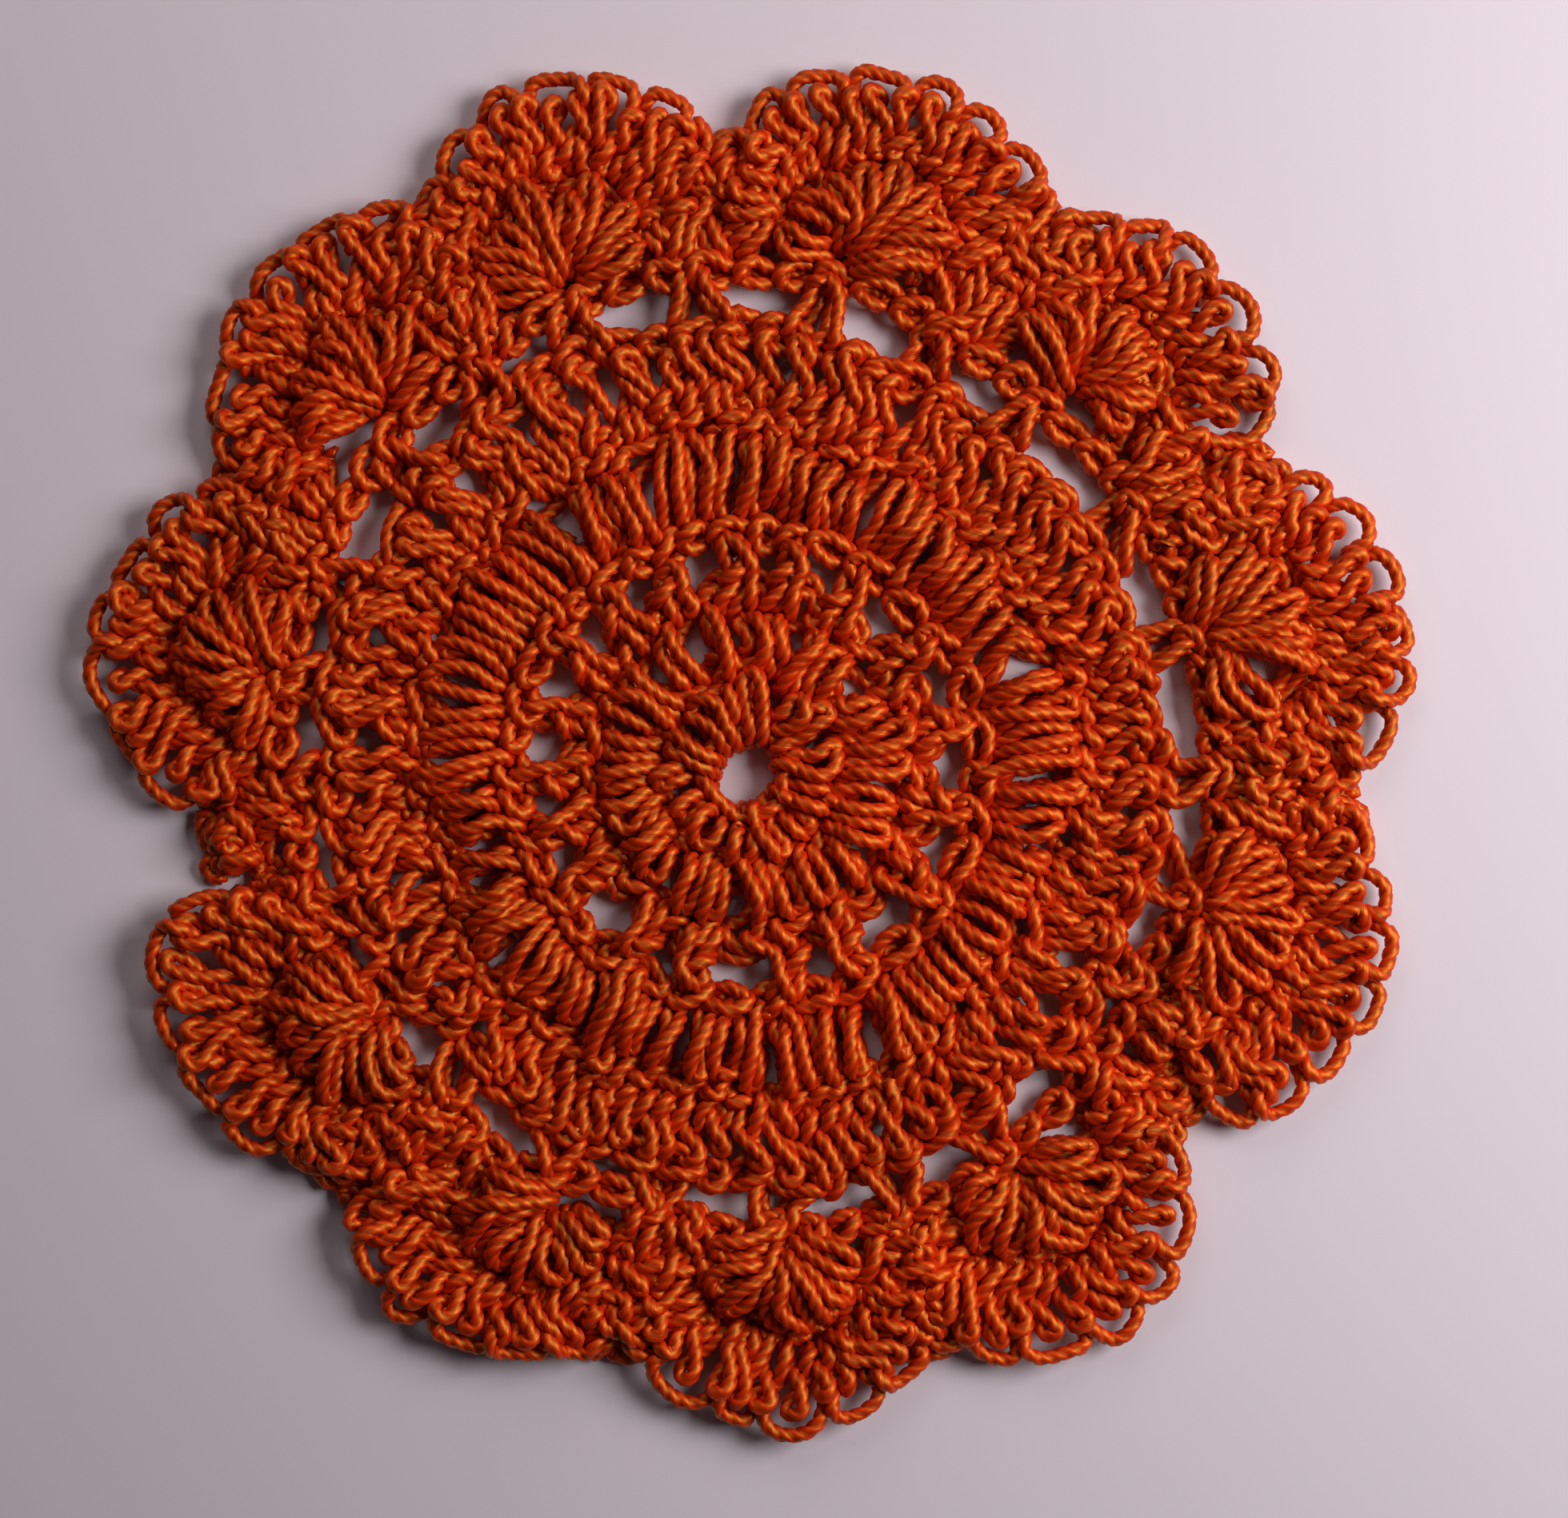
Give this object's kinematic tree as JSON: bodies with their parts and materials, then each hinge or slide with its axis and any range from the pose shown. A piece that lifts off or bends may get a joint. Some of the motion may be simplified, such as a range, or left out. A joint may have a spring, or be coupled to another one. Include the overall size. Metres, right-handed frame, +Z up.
{
  "type": "crochet coaster",
  "caption": "Round flat crochet coaster in thick cotton yarn, with an open ring at its centre, a lacy round, dense ridged rounds and a rim of shell-shaped fans.",
  "frame": {"origin": "centre of the bounding box, on the surface that the coaster rests on", "axes": "+Z up through the thin of the coaster, +X to the right and +Y to the top as it is seen from above"},
  "size_m": [0.1062, 0.1095, 0.0038],
  "materials": {
    "yarn": "satin"
  },
  "bodies": {
    "root": {"coaster": "yarn"}
  },
  "joints": []
}
